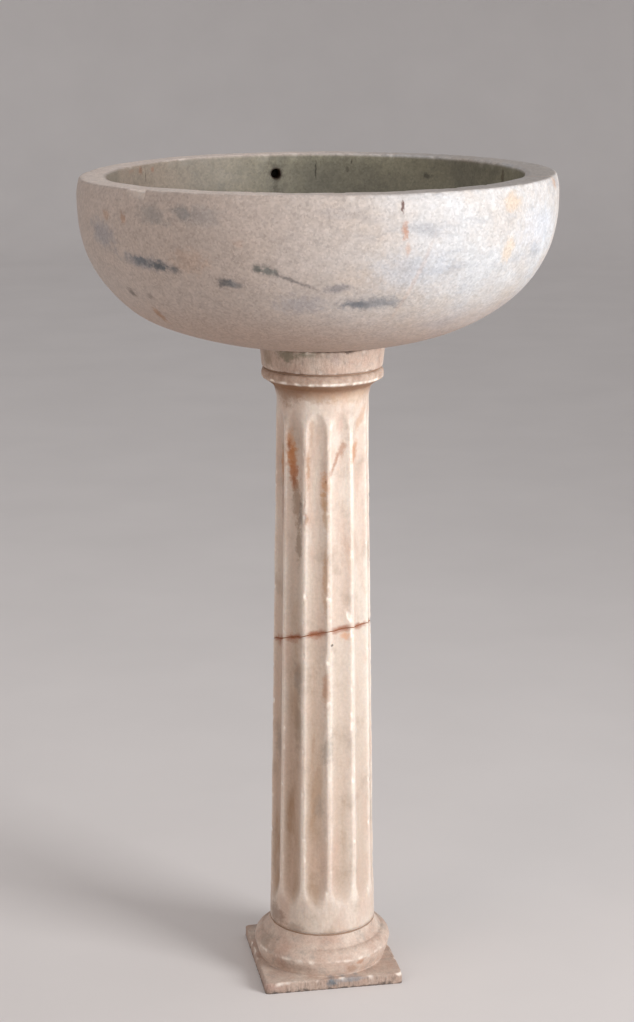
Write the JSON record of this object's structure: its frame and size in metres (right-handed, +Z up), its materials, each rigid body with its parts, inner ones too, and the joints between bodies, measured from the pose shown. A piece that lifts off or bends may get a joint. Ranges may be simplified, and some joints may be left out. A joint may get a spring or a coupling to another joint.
{
  "type": "baptismal font",
  "caption": "Free-standing marble font: a wide hand-cut bowl on a slim fluted column with a round collar, torus base and square plinth.",
  "frame": {"origin": "centre of the plinth's underside, on the axis of the column", "axes": "+Z up along the column; +X to the right and -Y towards a viewer who stands in front; the plinth is turned 10.3 degrees about Z from these axes"},
  "size_m": [0.5904, 0.5904, 1.05],
  "materials": {
    "bowl_marble": "satin",
    "shaft_marble": "satin",
    "base_marble": "matte",
    "lime_mortar": "matte",
    "stained_mortar": "matte",
    "dowel_iron": "matte",
    "socket_lead": "satin"
  },
  "bodies": {
    "root": {"bowl": "bowl_marble", "collar": "base_marble", "upper_shaft": "shaft_marble", "lower_shaft": "shaft_marble", "base_block": "base_marble", "bowl_bedding": "lime_mortar", "collar_bedding": "lime_mortar", "break_mortar": "stained_mortar", "base_bedding": "lime_mortar", "bowl_dowel": "dowel_iron", "break_pin": "dowel_iron", "base_dowel": "dowel_iron", "bowl_socket_lead": "socket_lead", "collar_hole_lead": "socket_lead", "shaft_head_lead": "socket_lead", "upper_break_lead": "socket_lead", "lower_break_lead": "socket_lead", "shaft_foot_lead": "socket_lead", "base_socket_lead": "socket_lead"}
  },
  "joints": []
}
